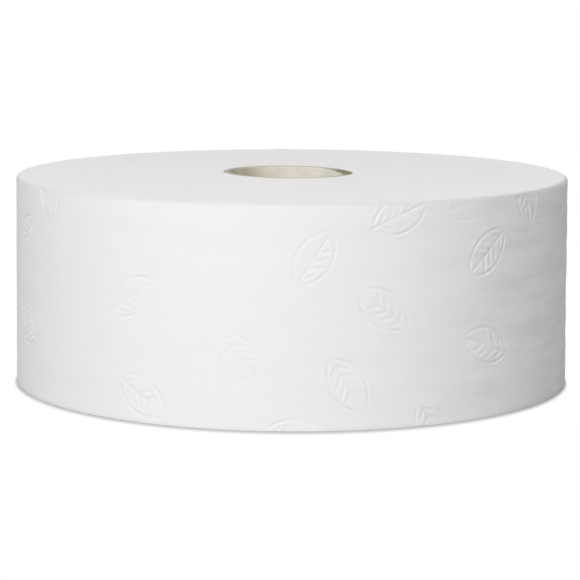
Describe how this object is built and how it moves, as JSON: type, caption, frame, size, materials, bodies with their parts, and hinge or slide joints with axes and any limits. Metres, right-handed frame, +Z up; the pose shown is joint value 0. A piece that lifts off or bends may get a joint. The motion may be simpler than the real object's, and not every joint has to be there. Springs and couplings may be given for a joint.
{
  "type": "toilet paper roll",
  "caption": "Jumbo toilet paper roll standing on one end: leaf-pressed tissue wound in a spiral round an open cardboard tube, for a dispenser spindle",
  "frame": {"origin": "Middle of the lower end, where the winding axis meets the surface that the roll stands on.", "axes": "+Z runs up the winding axis and the core's bore. The pictured side faces -Y. The sheet's loose end is at the back, on +Y."},
  "size_m": [0.26, 0.26, 0.0976],
  "materials": {
    "tissue": "soft matte, lightly creped",
    "cardboard": "matte grey-brown board"
  },
  "bodies": {
    "root": {"paper_roll": "tissue", "core": "cardboard"}
  },
  "joints": []
}
